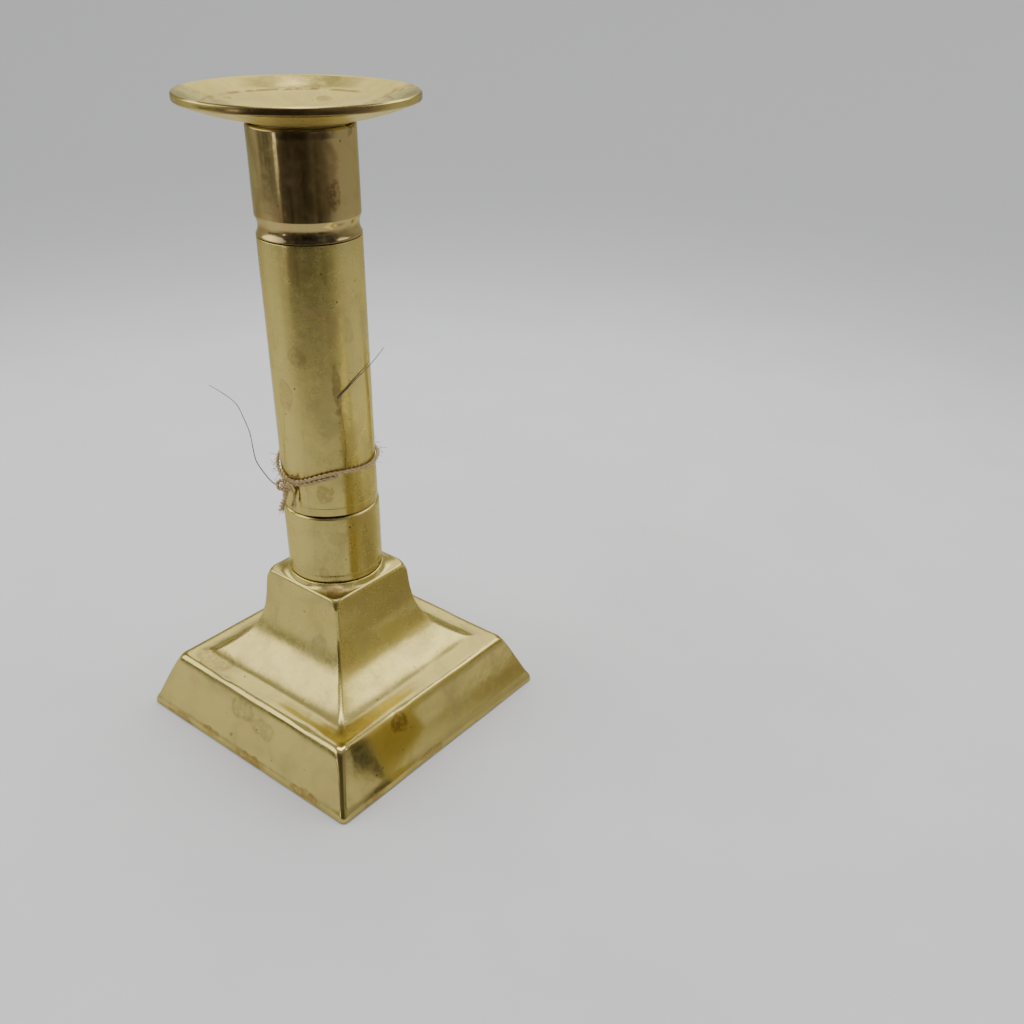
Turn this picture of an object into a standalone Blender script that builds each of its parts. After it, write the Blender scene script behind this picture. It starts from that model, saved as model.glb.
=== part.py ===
"""A brass candlestick: a hollow cast square foot with a stepped, coved profile, a three-piece round column
soldered to it, a lift-out drip pan with its candle socket, and a length of twine tied round the column.

Metres, +Z up. The origin is the centre of the square that the foot stands on.
"""

import math

import bpy
import bmesh

MM = 0.001
GAP = 0.3 * MM  # clearance between two pieces that touch

# Foot
FOOT_HALF = 42.0 * MM  # half the side of the square
FOOT_WALL = 2.3 * MM
CREST_HALF = 33.4 * MM  # the rounded ridge round the top of the outer band
CREST_HEIGHT = 17.9 * MM
COVE_LOW = (28.0, 18.35)  # half side and height in mm where the hollow sweep leaves the ledge
COVE_BEND = (25.4, 19.75)  # from here it climbs evenly
COVE_MIDDLE = (20.0, 24.85)  # and from here it steepens
COVE_TURN = (16.6, 28.6)  # where the even climb and the upright part would meet
COVE_HIGH = (15.3, 36.5)  # where it has become nearly upright
COVE_STEPS = 5
HOLLOW_OUTER = 29.8 * MM  # the same sweep on the underside
HOLLOW_RUN = 16.6 * MM
HOLLOW_RISE = 20.8 * MM
HOLLOW_SWEEP_TOP = 35.5 * MM
HOLLOW_POWER = 1.5  # 2 would be an ellipse, 1 a straight slope
HOLLOW_STEPS = 10
PLINTH_HALF = 14.5 * MM
PLINTH_TOP = 46.6 * MM
BOSS_RADIUS = 13.65 * MM  # the round seat that the column stands on
BOSS_TOP = 48.45 * MM
BOSS_EDGE = 0.25 * MM  # the small bevel round the seat
BOSS_SWEEP = 2.2  # above 1, the blend from the square up to the seat is hollow
BOSS_HOLE = 9.8 * MM
HOLLOW_TOP = 44.6 * MM  # ceiling of the plinth's hollow
CORNER_STEPS = 5
SIDE_STEPS = 6

# Column
COLUMN_RADIUS = 13.0 * MM
COLUMN_WALL = 1.2 * MM
FERRULE_RADIUS = 13.35 * MM  # the foot ferrule is a little wider than the tube
FERRULE_TOP = 69.3 * MM
TUBE_TOP = 142.2 * MM
COLUMN_TOP = 167.7 * MM
SPIGOT_LENGTH = 9.5 * MM
SPIGOT_WALL = 1.0 * MM
GROOVE_HEIGHT = 4.3 * MM
GROOVE_DEPTH = 0.6 * MM
LINE_DEPTH = 0.25 * MM  # the fine turned lines
LINE_HALF = 0.2 * MM

# Lift-out nozzle
PAN_RADIUS = 28.45 * MM
PAN_TOP = 174.55 * MM
PAN_CREASE = 22.3 * MM  # radius where the sloped wall meets the flatter floor
SOCKET_RADIUS = 11.6 * MM
SOCKET_BORE = 10.9 * MM
SOCKET_BOTTOM = 150.2 * MM
SOCKET_FLOOR = 151.0 * MM
NOZZLE_BORE = 12.0 * MM  # the hole in the column top that the socket drops into

# Twine
TWINE_RADIUS = 0.55 * MM
TWINE_HEIGHT = 82.6 * MM
TWINE_DROOP = 3.1 * MM  # how much lower the loop hangs at the knot
KNOT_ANGLE = math.radians(176)
KNOT_REACH = 16.0 * MM
LONG_TAIL_RADIUS = 0.6 * MM
SHORT_TAIL_RADIUS = 0.35 * MM
# The loose ends' routes: degrees past the knot, reach from the axis in mm, height in mm
LONG_TAIL = [(1.5, 15.5, 75.3), (-1.0, 15.4, 74.4), (-3.2, 15.4, 73.4), (-8.4, 15.4, 71.4), (-11, 15.4, 69.7)]
SHORT_TAIL = [(6.5, 14.3, 76.0), (8.6, 14.2, 75.0), (8.4, 14.2, 74.2), (8.0, 14.2, 73.3)]

TURNED_STEPS = 48
SHARP_ANGLE = math.radians(35)

BRASS = (0.72, 0.60, 0.33, 1.0)
BROWNED_BRASS = (0.60, 0.49, 0.29, 1.0)
SOLDER = (0.45, 0.42, 0.38, 1.0)
FIBRE = (0.55, 0.42, 0.33, 1.0)


def clear_scene():
    for old in list(bpy.data.objects):
        bpy.data.objects.remove(old, do_unlink=True)


def material(name, colour, roughness, metallic):
    made = bpy.data.materials.new(name)
    made.use_nodes = True
    shader = made.node_tree.nodes["Principled BSDF"]
    shader.inputs["Base Color"].default_value = colour
    shader.inputs["Roughness"].default_value = roughness
    shader.inputs["Metallic"].default_value = metallic
    return made


def brass(name):
    return material(name, BRASS, 0.28, 1.0)


def browned_brass(name):
    return material(name, BROWNED_BRASS, 0.25, 1.0)


def solder(name):
    return material(name, SOLDER, 0.45, 1.0)


def fibre(name):
    return material(name, FIBRE, 0.9, 0.0)


def add_object(name, data, look):
    data.materials.append(look)
    made = bpy.data.objects.new(name, data)
    bpy.context.scene.collection.objects.link(made)
    return made


def mesh_of_rings(name, rings, look, closed):
    """One skin over a stack of rings, where a ring of one point is a pole."""
    shape = bmesh.new()
    rows = [[shape.verts.new(point) for point in ring] for ring in rings]
    pairs = list(zip(rows, rows[1:]))
    if closed:
        pairs.append((rows[-1], rows[0]))
    for lower, upper in pairs:
        count = max(len(lower), len(upper))
        for i in range(count):
            j = (i + 1) % count
            if len(lower) == 1:
                shape.faces.new((lower[0], upper[j], upper[i]))
            elif len(upper) == 1:
                shape.faces.new((lower[i], lower[j], upper[0]))
            else:
                shape.faces.new((lower[i], lower[j], upper[j], upper[i]))
    bmesh.ops.recalc_face_normals(shape, faces=shape.faces)
    data = bpy.data.meshes.new(name)
    shape.to_mesh(data)
    shape.free()
    data.shade_smooth()
    data.set_sharp_from_angle(angle=SHARP_ANGLE)
    return add_object(name, data, look)


def circle(radius, height):
    if radius == 0:
        return [(0, 0, height)]
    turns = [2 * math.pi * i / TURNED_STEPS for i in range(TURNED_STEPS)]
    return [(radius * math.cos(a), radius * math.sin(a), height) for a in turns]


def turned(name, outline, look):
    """The outline, (radius, height) pairs, turned round Z. It is a loop unless it starts on the axis."""
    on_axis = outline[0][0] == 0
    return mesh_of_rings(name, [circle(r, z) for r, z in outline], look, closed=not on_axis)


def turned_line(radius, height):
    """A fine V cut round a tube, listed from the top."""
    return [
        (radius, height + LINE_HALF),
        (radius - LINE_DEPTH, height),
        (radius, height - LINE_HALF),
    ]


def square_ring(half, corner, height):
    """A square with rounded corners, anticlockwise, with points along its sides."""
    ring = []
    for quarter in range(4):
        turn = quarter * math.pi / 2
        ux, uy = math.cos(turn), math.sin(turn)
        for i in range(CORNER_STEPS + 1):
            a = i * math.pi / 2 / CORNER_STEPS
            x = half - corner + corner * math.cos(a)
            y = half - corner + corner * math.sin(a)
            ring.append((x * ux - y * uy, x * uy + y * ux, height))
        for i in range(1, SIDE_STEPS):
            x = (half - corner) * (1 - 2 * i / SIDE_STEPS)
            ring.append((x * ux - half * uy, x * uy + half * ux, height))
    return ring


def round_ring(radius, height, like):
    """A circle whose points stand at the same bearings as those of the ring it joins."""
    bearings = [math.atan2(y, x) for x, y, _ in like]
    return [(radius * math.cos(a), radius * math.sin(a), height) for a in bearings]


def cove(corner_low, corner_high):
    """The hollow sweep from the ledge up to the plinth, as (half side, corner radius, height)."""
    points = [COVE_LOW, COVE_BEND]
    for i in range(COVE_STEPS + 1):
        t = i / COVE_STEPS
        points.append([a * (1 - t) ** 2 + b * 2 * t * (1 - t) + c * t**2
                       for a, b, c in zip(COVE_MIDDLE, COVE_TURN, COVE_HIGH)])
    span = len(points) - 1
    return [(half * MM, corner_low + (corner_high - corner_low) * i / span, height * MM)
            for i, (half, height) in enumerate(points)]


def hollow_sweep(corner_low, corner_high):
    """The underside of the cove, as (half side, corner radius, height) from the bottom up."""
    sweep = []
    for i in range(HOLLOW_STEPS + 1):
        a = math.pi / 2 * (1 - i / HOLLOW_STEPS)
        half = HOLLOW_OUTER - HOLLOW_RUN * abs(math.cos(a)) ** (2 / HOLLOW_POWER)
        height = HOLLOW_SWEEP_TOP - HOLLOW_RISE * abs(math.sin(a)) ** (2 / HOLLOW_POWER)
        corner = corner_low + (corner_high - corner_low) * i / HOLLOW_STEPS
        sweep.append((half, corner, height))
    return sweep


def foot_outside():
    edge = [
        (FOOT_HALF - 0.4 * MM, 1.6 * MM, 0),
        (FOOT_HALF, 1.7 * MM, 0.4 * MM),
        (FOOT_HALF - 0.15 * MM, 1.7 * MM, 1.7 * MM),
        (FOOT_HALF - 1.1 * MM, 1.6 * MM, 3.4 * MM),
        (FOOT_HALF - 3.1 * MM, 1.6 * MM, 8.4 * MM),
        (FOOT_HALF - 5.2 * MM, 1.8 * MM, 13.4 * MM),
    ]
    crest = [
        (CREST_HALF + 2.4 * MM, 2.2 * MM, CREST_HEIGHT - 2.1 * MM),
        (CREST_HALF + 1.6 * MM, 2.3 * MM, CREST_HEIGHT - 0.7 * MM),
        (CREST_HALF + 0.7 * MM, 2.4 * MM, CREST_HEIGHT - 0.1 * MM),
        (CREST_HALF - 0.4 * MM, 2.4 * MM, CREST_HEIGHT),
        (CREST_HALF - 1.6 * MM, 2.2 * MM, CREST_HEIGHT + 0.03 * MM),
        (CREST_HALF - 2.8 * MM, 1.9 * MM, CREST_HEIGHT + 0.07 * MM),
    ]
    plinth = [
        (PLINTH_HALF + 0.2 * MM, 1.1 * MM, PLINTH_TOP - 2.4 * MM),
        (PLINTH_HALF, 2.3 * MM, PLINTH_TOP - 0.7 * MM),
        (PLINTH_HALF - 0.4 * MM, 2.8 * MM, PLINTH_TOP),
    ]
    return edge + crest + cove(1.5 * MM, 1.0 * MM) + plinth


def foot_inside():
    """The underside's hollow follows the outside at about the wall's thickness, from the ceiling down."""
    ceiling = [
        (PLINTH_HALF - FOOT_WALL, 2.0 * MM, HOLLOW_TOP),
        (PLINTH_HALF - FOOT_WALL + 0.4 * MM, 2.0 * MM, HOLLOW_TOP - 0.8 * MM),
    ]
    sweep = hollow_sweep(1.0 * MM, 1.8 * MM)
    skirt = [
        (CREST_HALF - 0.7 * MM, 1.2 * MM, CREST_HEIGHT - 3.2 * MM),
        (CREST_HALF + 0.3 * MM, 1.2 * MM, CREST_HEIGHT - 4.4 * MM),
        (FOOT_HALF - 6.2 * MM, 1.0 * MM, 8.5 * MM),
        (FOOT_HALF - 4.3 * MM, 1.0 * MM, 4.0 * MM),
        (FOOT_HALF - FOOT_WALL, 1.0 * MM, 0),
    ]
    return ceiling + sweep[::-1] + skirt


def seat_blend(square, part):
    """A ring part of the way from the plinth's square edge up to the round seat."""
    seat = round_ring(BOSS_RADIUS, BOSS_TOP, square)
    height = PLINTH_TOP + (BOSS_TOP - BOSS_EDGE - PLINTH_TOP) * part**BOSS_SWEEP
    return [(x + (u - x) * part, y + (v - y) * part, height) for (x, y, _), (u, v, _) in zip(square, seat)]


def base_casting():
    outside = [square_ring(*row) for row in foot_outside()]
    inside = [square_ring(*row) for row in foot_inside()]
    boss = [
        seat_blend(outside[-1], 0.35),
        seat_blend(outside[-1], 0.7),
        seat_blend(outside[-1], 1.0),
        round_ring(BOSS_RADIUS - BOSS_EDGE, BOSS_TOP, outside[-1]),
    ]
    hole = [
        round_ring(BOSS_HOLE, BOSS_TOP, outside[-1]),
        round_ring(BOSS_HOLE, HOLLOW_TOP, inside[0]),
    ]
    return mesh_of_rings("base_casting", outside + boss + hole + inside, brass("base_brass"), closed=True)


def foot_ferrule():
    """The column's foot: it stands on the round seat and has a spigot at each end."""
    tube_spigot = COLUMN_RADIUS - COLUMN_WALL - GAP
    shoulder = BOSS_TOP + GAP
    seat_spigot = BOSS_HOLE - GAP
    outline = [
        (tube_spigot, FERRULE_TOP + SPIGOT_LENGTH),
        (tube_spigot, FERRULE_TOP),
        (FERRULE_RADIUS - 0.4 * MM, FERRULE_TOP),
        (FERRULE_RADIUS, FERRULE_TOP - 0.4 * MM),
        *turned_line(FERRULE_RADIUS, shoulder + 2.0 * MM),
        (FERRULE_RADIUS + 0.1 * MM, shoulder + 0.3 * MM),
        (FERRULE_RADIUS - 0.1 * MM, shoulder),
        (seat_spigot, shoulder),
        (seat_spigot, HOLLOW_TOP - 2.6 * MM),
        (seat_spigot - 1.2 * MM, HOLLOW_TOP - 2.6 * MM),
        (seat_spigot - 1.2 * MM, shoulder + 1.8 * MM),
        (tube_spigot - SPIGOT_WALL, shoulder + 3.8 * MM),
        (tube_spigot - SPIGOT_WALL, FERRULE_TOP + SPIGOT_LENGTH),
    ]
    return turned("foot_ferrule", outline, brass("foot_ferrule_brass"))


def solder_fillet():
    """Soft solder run round the column's spigot under the plinth, which holds the column to the foot."""
    top = HOLLOW_TOP - GAP
    outline = [
        (BOSS_HOLE, top),
        (BOSS_HOLE, top - 2.0 * MM),
        (BOSS_HOLE + 0.4 * MM, top - 2.2 * MM),
        (BOSS_HOLE + 2.2 * MM, top - 0.5 * MM),
        (BOSS_HOLE + 2.3 * MM, top),
    ]
    return turned("solder_fillet", outline[::-1], solder("solder_metal"))


def column_tube():
    low = FERRULE_TOP + GAP
    outline = [
        (COLUMN_RADIUS - COLUMN_WALL, TUBE_TOP),
        (COLUMN_RADIUS - 0.1 * MM, TUBE_TOP),
        (COLUMN_RADIUS, TUBE_TOP - 0.1 * MM),
        *turned_line(COLUMN_RADIUS, low + 2.7 * MM),
        (COLUMN_RADIUS, low),
        (COLUMN_RADIUS - COLUMN_WALL, low),
    ]
    return turned("column_tube", outline, brass("column_brass"))


def groove(height):
    """The hollow band near the column's top, an arc in section, listed from its upper edge."""
    steps = 8
    half = GROOVE_HEIGHT / 2
    sweep_radius = (half * half + GROOVE_DEPTH * GROOVE_DEPTH) / (2 * GROOVE_DEPTH)
    reach = math.asin(half / sweep_radius)
    arc = []
    for i in range(steps + 1):
        a = reach * (1 - 2 * i / steps)
        inset = sweep_radius * math.cos(a) - (sweep_radius - GROOVE_DEPTH)
        arc.append((COLUMN_RADIUS - inset, height + sweep_radius * math.sin(a)))
    return arc


def top_ferrule():
    """The column's head: its bore takes the candle socket, and its spigot goes down into the tube."""
    spigot = COLUMN_RADIUS - COLUMN_WALL - GAP
    low = TUBE_TOP + GAP
    bore_floor = SOCKET_BOTTOM - 0.6 * MM
    outline = [
        (NOZZLE_BORE, COLUMN_TOP),
        (COLUMN_RADIUS - 0.25 * MM, COLUMN_TOP),
        (COLUMN_RADIUS, COLUMN_TOP - 0.25 * MM),
        *groove(low + 0.2 * MM + GROOVE_HEIGHT / 2),
        (COLUMN_RADIUS - 0.05 * MM, low),
        (spigot, low),
        (spigot, low - SPIGOT_LENGTH),
        (spigot - SPIGOT_WALL, low - SPIGOT_LENGTH),
        (spigot - SPIGOT_WALL, bore_floor),
        (NOZZLE_BORE, bore_floor),
    ]
    return turned("top_ferrule", outline, browned_brass("top_ferrule_brass"))


def drip_pan():
    """A shallow dish of even thickness with a rounded rim, a sloped wall and a slightly dished floor."""
    low = COLUMN_TOP + GAP
    hole = SOCKET_RADIUS + GAP
    outline = [
        (hole, low),
        (hole + 0.4 * MM, low),
        (hole + 1.1 * MM, low + 0.3 * MM),
        (PAN_CREASE, low + 2.5 * MM),
        (PAN_RADIUS - 0.5 * MM, PAN_TOP - 2.0 * MM),
        (PAN_RADIUS - 0.05 * MM, PAN_TOP - 1.7 * MM),
        (PAN_RADIUS, PAN_TOP - 0.9 * MM),
        (PAN_RADIUS - 0.05 * MM, PAN_TOP - 0.3 * MM),
        (PAN_RADIUS - 0.35 * MM, PAN_TOP),
        (PAN_RADIUS - 0.9 * MM, PAN_TOP - 0.15 * MM),
        (PAN_CREASE, PAN_TOP - 2.95 * MM),
        (hole + 0.3 * MM, PAN_TOP - 5.3 * MM),
        (hole, PAN_TOP - 5.35 * MM),
    ]
    return turned("drip_pan", outline, brass("drip_pan_brass"))


def candle_socket():
    """A drawn cup, open at the top, fixed in the pan's hole."""
    mouth = PAN_TOP - 5.25 * MM
    outline = [
        (0, SOCKET_BOTTOM),
        (SOCKET_RADIUS - 0.6 * MM, SOCKET_BOTTOM),
        (SOCKET_RADIUS, SOCKET_BOTTOM + 0.6 * MM),
        (SOCKET_RADIUS, mouth),
        (SOCKET_BORE, mouth),
        (SOCKET_BORE, SOCKET_FLOOR + 0.5 * MM),
        (SOCKET_BORE - 0.5 * MM, SOCKET_FLOOR),
        (0, SOCKET_FLOOR),
    ]
    return turned("candle_socket", outline, brass("candle_socket_brass"))


def twine_loop():
    """A ring of twine drawn tight round the column, lower at the knot."""
    reach = COLUMN_RADIUS + GAP + TWINE_RADIUS + 0.05 * MM
    sides = 8
    rings = []
    for i in range(TURNED_STEPS):
        around = 2 * math.pi * i / TURNED_STEPS
        droop = TWINE_DROOP * max(0.0, math.cos(around - KNOT_ANGLE)) ** 4
        ring = []
        for k in range(sides):
            a = 2 * math.pi * k / sides
            r = reach + TWINE_RADIUS * math.cos(a)
            z = TWINE_HEIGHT - droop + TWINE_RADIUS * math.sin(a)
            ring.append((r * math.cos(around), r * math.sin(around), z))
        rings.append(ring)
    return mesh_of_rings("twine_loop", rings, fibre("twine_fibre"), closed=True)


def twine_knot():
    """The knot, a small lump on the outside of the loop."""
    shape = bmesh.new()
    bmesh.ops.create_icosphere(shape, subdivisions=2, radius=1.0)
    bmesh.ops.scale(shape, vec=(1.2 * MM, 2.3 * MM, 2.1 * MM), verts=shape.verts)
    data = bpy.data.meshes.new("twine_knot")
    shape.to_mesh(data)
    shape.free()
    data.shade_smooth()
    knot = add_object("twine_knot", data, fibre("knot_fibre"))
    height = TWINE_HEIGHT - TWINE_DROOP - 0.9 * MM
    knot.location = (KNOT_REACH * math.cos(KNOT_ANGLE), KNOT_REACH * math.sin(KNOT_ANGLE), height)
    knot.rotation_euler = (0, 0, KNOT_ANGLE)


def twine_tail(name, route, radius):
    """A short loose end below the knot."""
    path = bpy.data.curves.new(name, "CURVE")
    path.dimensions = "3D"
    path.bevel_depth = radius
    path.bevel_resolution = 2
    path.use_fill_caps = True
    spline = path.splines.new("POLY")
    spline.points.add(len(route) - 1)
    for point, (past, reach, height) in zip(spline.points, route):
        a = KNOT_ANGLE + math.radians(past)
        point.co = (reach * MM * math.cos(a), reach * MM * math.sin(a), height * MM, 1)
    return add_object(name, path, fibre(name + "_fibre"))


clear_scene()
base_casting()
solder_fillet()
foot_ferrule()
column_tube()
top_ferrule()
drip_pan()
candle_socket()
twine_loop()
twine_knot()
twine_tail("twine_tail_long", LONG_TAIL, LONG_TAIL_RADIUS)
twine_tail("twine_tail_short", SHORT_TAIL, SHORT_TAIL_RADIUS)
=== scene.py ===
import math
import random

import bmesh
import bpy
from mathutils import Matrix, Vector, noise


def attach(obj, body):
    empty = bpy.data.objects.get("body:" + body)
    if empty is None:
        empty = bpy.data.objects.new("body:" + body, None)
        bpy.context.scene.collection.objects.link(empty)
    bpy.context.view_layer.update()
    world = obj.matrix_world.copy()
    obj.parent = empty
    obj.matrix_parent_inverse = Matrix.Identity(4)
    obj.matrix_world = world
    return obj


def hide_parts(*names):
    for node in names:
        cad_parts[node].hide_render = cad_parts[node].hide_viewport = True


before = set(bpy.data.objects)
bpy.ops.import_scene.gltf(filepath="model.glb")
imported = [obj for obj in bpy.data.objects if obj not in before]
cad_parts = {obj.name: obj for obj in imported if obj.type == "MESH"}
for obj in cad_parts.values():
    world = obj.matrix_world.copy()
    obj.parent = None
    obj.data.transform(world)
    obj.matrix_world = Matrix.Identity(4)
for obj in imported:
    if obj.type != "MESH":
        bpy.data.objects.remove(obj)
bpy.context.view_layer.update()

MM = 0.001
ROOT = "candlestick"
NOZZLE = "nozzle"
TURNS = 128  # points round a turned piece

# Heights and radii of the candlestick, mm
BAND = 42.0  # half side of the foot's outer band
CEILING = 44.6  # underside of the plinth's top
PLINTH = 46.6  # flat top of the square plinth
SEAT = 48.45  # round seat under the column
FERRULE_LOW = 48.75
FERRULE = 13.35  # radius of the column's foot
COLUMN = 13.0  # radius of the tube and the head
TUBE_LOW, TUBE_HIGH = 69.45, 142.2
HEAD_LOW, HEAD_HIGH = 142.5, 167.7
CREASE = 22.3  # radius at which the pan's floor turns up
KNOT = math.radians(176)  # side of the column where the twine is tied


# ---------------------------------------------------------------- camera, light, floor

def add_camera():
    data = bpy.data.cameras.new("camera")
    data.lens = 36.42
    data.sensor_width = 36.0
    data.shift_y = 0.0569
    data.clip_start = 0.005
    camera = bpy.data.objects.new("camera", data)
    bpy.context.scene.collection.objects.link(camera)
    turn = Matrix.Rotation(math.radians(-52.53), 4, "Z")
    tip = Matrix.Rotation(math.radians(58.196), 4, "X")
    roll = Matrix.Rotation(math.radians(1.281), 4, "Z")
    stand = Matrix.Translation((-0.17448, -0.19864, 0.20683))
    camera.matrix_world = stand @ turn @ tip @ roll
    bpy.context.scene.camera = camera


def add_area(name, place, target, size, power, colour=(1, 1, 1)):
    data = bpy.data.lights.new(name, "AREA")
    data.shape = "RECTANGLE"
    data.size, data.size_y = size
    data.energy = power
    data.color = colour
    lamp = bpy.data.objects.new(name, data)
    bpy.context.scene.collection.objects.link(lamp)
    lamp.location = place
    lamp.rotation_euler = (Vector(target) - Vector(place)).to_track_quat("-Z", "Y").to_euler()
    return lamp


def add_light():
    world = bpy.data.worlds.new("studio")
    bpy.context.scene.world = world
    world.use_nodes = True
    sky = world.node_tree.nodes["Background"]
    sky.inputs["Color"].default_value = (0.97, 0.98, 1.0, 1)
    sky.inputs["Strength"].default_value = 0.55
    add_area("overhead", (0.06, 0.05, 1.10), (0.05, 0.05, 0.0), (0.6, 0.6), 7.2)
    away, wide = 0.70, 0.95
    windows = (("left_window", 133, 0.42, 0.50, 3.8),
               ("back_window", 40, 0.62, 0.62, 2.9),
               ("right_window", -31, 0.62, 0.36, 3.4))
    for name, turn, height, tall, power in windows:
        a = math.radians(turn)
        place = (away * math.cos(a), away * math.sin(a), height)
        add_area(name, place, (0, 0, 0.02), (wide, tall), power)


def add_floor():
    """A pale paper sweep all round: a flat disc that curves up into a low wall."""
    flat, bend, top = 0.45, 0.45, 0.95
    around = 96
    rows = [(0.0, 0.0)]
    rows += [(flat * i / 8, 0.0) for i in range(1, 9)]
    for i in range(1, 25):
        a = math.pi / 2 * i / 24
        rows.append((flat + bend * math.sin(a), bend * (1 - math.cos(a))))
    rows.append((flat + bend, top))
    shape = bmesh.new()
    rings = []
    for radius, height in rows:
        count = 1 if radius == 0 else around
        rings.append([shape.verts.new((radius * math.cos(2 * math.pi * i / around),
                                       radius * math.sin(2 * math.pi * i / around), height))
                      for i in range(count)])
    bridge(shape, rings)
    data = bpy.data.meshes.new("paper_sweep")
    shape.to_mesh(data)
    shape.free()
    data.shade_smooth()
    data.flip_normals()
    look = Look("paper", (0.62, 0.62, 0.62, 1), 0.0, 0.62)
    where = look.place(1 / (60 * MM))
    tone = look.ramp(look.noise(where, 1.0, 4.0, 0.55),
                     [(0.35, (0.60, 0.60, 0.605, 1)), (0.7, (0.635, 0.635, 0.632, 1))])
    # painted shade: the far part of the sweep and its wall are greyer, as less light reaches them
    tone = look.mix(look.range(look.reach(), 0.24, 0.66), tone, (0.33, 0.33, 0.332, 1))
    tone = look.mix(look.range(look.height(), 0.16, 0.30), tone, (0.27, 0.27, 0.272, 1))
    look.link(tone, "Base Color")
    tooth = look.noise(look.place(1 / (1.2 * MM)), 1.0, 3.0, 0.6)
    look.bump([(tooth, 0.05 * MM)], 0.4)
    data.materials.append(look.made)
    made = bpy.data.objects.new("paper_sweep", data)
    bpy.context.scene.collection.objects.link(made)


def only_reflected(made):
    """Seen in the brass and nowhere else."""
    made.visible_camera = False
    made.visible_shadow = False
    made.visible_diffuse = False


def matt(look):
    look.shader.inputs["Specular IOR Level"].default_value = 0.0


def dark_sheet(name, low_angle, high_angle, rows, tone, strength):
    """A dark sheet round part of the room, for painted shade and dark things there, given as (radius,
    height) rows, that fades out at its edges.
    """
    steps = 48
    shape = bmesh.new()
    layer = shape.loops.layers.uv.new("spread")
    grid = []
    for radius, height in rows:
        turns = [math.radians(low_angle + (high_angle - low_angle) * i / steps)
                 for i in range(steps + 1)]
        grid.append([shape.verts.new((radius * math.cos(a), radius * math.sin(a), height))
                     for a in turns])
    for k, (low, high) in enumerate(zip(grid, grid[1:])):
        for i in range(steps):
            face = shape.faces.new((low[i], low[i + 1], high[i + 1], high[i]))
            for loop, (u, v) in zip(face.loops, ((i, k), (i + 1, k), (i + 1, k + 1), (i, k + 1))):
                loop[layer].uv = (u / steps, v / (len(rows) - 1))
    data = bpy.data.meshes.new(name)
    shape.to_mesh(data)
    shape.free()
    look = Look(name, tone, 0.0, 1.0)
    matt(look)
    spread = look.node("ShaderNodeUVMap", uv_map="spread")
    split = look.node("ShaderNodeSeparateXYZ", {0: spread.outputs[0]})
    across, up = split.outputs["X"], split.outputs["Y"]
    sides = look.times(look.range(across, 0.0, 0.28), look.range(across, 1.0, 0.72))
    ends = look.times(look.range(up, 0.0, 0.3), look.range(up, 1.0, 0.7))
    # uneven bands across the sheet make its darkness patchy
    bands_across = look.node("ShaderNodeCombineXYZ", {"X": look.times(across, 16.0)}).outputs[0]
    uneven = look.range(look.noise(bands_across, 1.0, 2.0, 0.6), 0.35, 0.65, 0.72, 1.0)
    look.link(look.times(look.times(sides, ends), look.times(uneven, strength)), "Alpha")
    data.materials.append(look.made)
    made = bpy.data.objects.new(name, data)
    bpy.context.scene.collection.objects.link(made)
    only_reflected(made)


def add_dark_side():
    """The unlit side of the room, where the viewer stands."""
    ground = [(0.22, 0.003), (0.33, 0.003), (0.45, 0.003), (0.57, 0.021), (0.70, 0.085), (0.80, 0.16)]
    figure = [(0.42, 0.0), (0.42, 0.12), (0.40, 0.26), (0.38, 0.42)]
    corner = [(0.62, 0.0), (0.62, 0.05), (0.62, 0.10), (0.62, 0.14)]
    # painted shade: sheets seen only in the brass, for the shadowed ground and a dark corner on the viewer's
    # side, and for the viewer's dark figure
    dark_sheet("dark_ground", -220, -62, ground, (0.042, 0.035, 0.027, 1), 0.97)
    dark_sheet("dark_figure", -188, -108, figure, (0.034, 0.027, 0.018, 1), 0.88)
    dark_sheet("dark_corner", -240, -194, corner, (0.05, 0.055, 0.03, 1), 0.9)
    add_area("lit_gap", (-0.55, 0.085, 0.095), (0, 0, 0.15), (0.06, 0.05), 0.035)


def add_shade():
    """The shaded strip of paper between the two candlesticks."""
    shape = bmesh.new()
    bmesh.ops.create_grid(shape, x_segments=2, y_segments=2, size=0.11)
    data = bpy.data.meshes.new("shade")
    shape.to_mesh(data)
    shape.free()
    look = Look("shade", (0.17, 0.14, 0.075, 1), 0.0, 1.0)
    matt(look)
    spot = look.near(look.warp(8.0, 20.0), (0, 0, 0), 100.0, 0.85)
    look.link(look.times(spot, 0.8), "Alpha")
    data.materials.append(look.made)
    made = bpy.data.objects.new("shade", data)
    bpy.context.scene.collection.objects.link(made)
    made.location = (0.080, -0.080, 0.0012)
    only_reflected(made)


def add_neighbour(pieces):
    """The second candlestick, which lies beside this one with its hollow foot towards the viewer."""
    tip = math.radians(4.46)
    flat = Vector((0.916, 0.401, 0.0)).normalized()
    along = flat * math.cos(tip) - Vector((0, 0, math.sin(tip)))
    up = flat * math.sin(tip) + Vector((0, 0, math.cos(tip)))
    side = up.cross(along)
    turn = Matrix((side, up, along)).transposed().to_4x4()
    place = Matrix.Translation(Vector((4.1, -92.0, 41.9)) * MM) @ turn
    pale = Look("pale_brass", (0.80, 0.76, 0.56, 1), 1.0, 0.45).made
    for piece in pieces:
        twin = bpy.data.objects.new("lying_" + piece.name, piece.data)
        bpy.context.scene.collection.objects.link(twin)
        twin.matrix_world = place
        twin.material_slots[0].link = "OBJECT"
        twin.material_slots[0].material = pale
        only_reflected(twin)


# ---------------------------------------------------------------- mesh tools

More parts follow.
